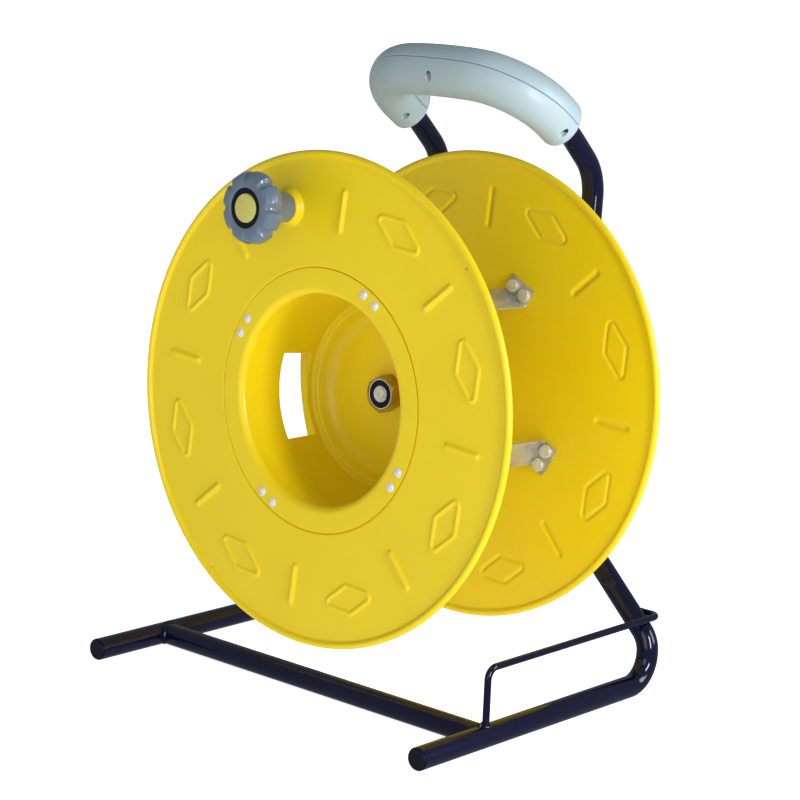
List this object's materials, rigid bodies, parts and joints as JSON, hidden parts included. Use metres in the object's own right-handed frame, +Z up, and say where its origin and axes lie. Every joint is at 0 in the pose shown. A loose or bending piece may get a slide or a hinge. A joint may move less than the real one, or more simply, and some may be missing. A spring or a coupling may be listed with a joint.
{
  "type": "cable reel",
  "caption": "Open steel cable reel with embossed flanges, a deep cup hub and a crank knob, spinning on a bent-tube floor stand with a carry grip.",
  "frame": {"origin": "centre of the bounding box at floor level, under the stand", "axes": "+Z up; +Y from the operator's side, where the crank knob is, to the uprights; +X to the operator's right, the side with the wire guide"},
  "size_m": [0.35, 0.2762, 0.4612],
  "materials": {
    "yellow_paint": "gloss powder coat",
    "black_paint": "gloss powder coat",
    "zinc": "bright zinc plate",
    "rivet_silver": "bright",
    "bearing_steel": "ground",
    "seal_rubber": "matte",
    "grip_grey": "fine texture",
    "screw_black": "black oxide",
    "knob_grey": "satin",
    "cap_khaki": "satin",
    "black_plastic": "satin"
  },
  "bodies": {
    "frame": {"frame_tube": "black_paint", "cross_tube": "black_paint", "tube_welds": "black_paint", "rail_plugs": "black_plastic", "wire_guide": "black_paint", "guide_welds": "black_paint", "axle_plate": "black_paint", "plate_welds": "black_paint", "spindle": "zinc", "spindle_clip": "bearing_steel", "spindle_washer": "zinc", "spindle_nut": "zinc", "front_bearing_inner_ring": "bearing_steel", "rear_bearing_inner_ring": "bearing_steel", "grip_lower_shell": "grip_grey", "grip_upper_shell": "grip_grey", "grip_screws": "screw_black"},
    "drum": {"front_bearing_outer_ring": "bearing_steel", "front_bearing_balls": "bearing_steel", "front_bearing_seal": "seal_rubber", "rear_bearing_outer_ring": "bearing_steel", "rear_bearing_balls": "bearing_steel", "rear_bearing_seals": "seal_rubber", "front_flange": "yellow_paint", "rear_flange": "yellow_paint", "hub_cup": "yellow_paint", "hub_ring": "yellow_paint", "hub_sleeve": "yellow_paint", "sleeve_weld": "yellow_paint", "ring_rivets": "rivet_silver", "strap_bolts": "zinc", "strap_nuts": "zinc", "knob_pin": "zinc", "knob_washer": "zinc", "knob_nut": "zinc", "core_strap_1": "zinc", "core_strap_2": "zinc", "core_strap_3": "zinc", "core_strap_4": "zinc"},
    "knob": {"crank_knob": "knob_grey", "knob_ring": "black_plastic", "knob_cap": "cap_khaki", "knob_bush": "black_plastic"}
  },
  "joints": [
    {"name": "drum_spin", "type": "hinge", "parent": "frame", "child": "drum", "pos_m": [0, -0.0763, 0.2146], "axis": [0, 0.999, -0.0436], "continuous": true},
    {"name": "knob_spin", "type": "hinge", "parent": "drum", "child": "knob", "pos_m": [-0.0381, -0.07054, 0.34648], "axis": [0, 0.999, -0.0436], "continuous": true}
  ]
}
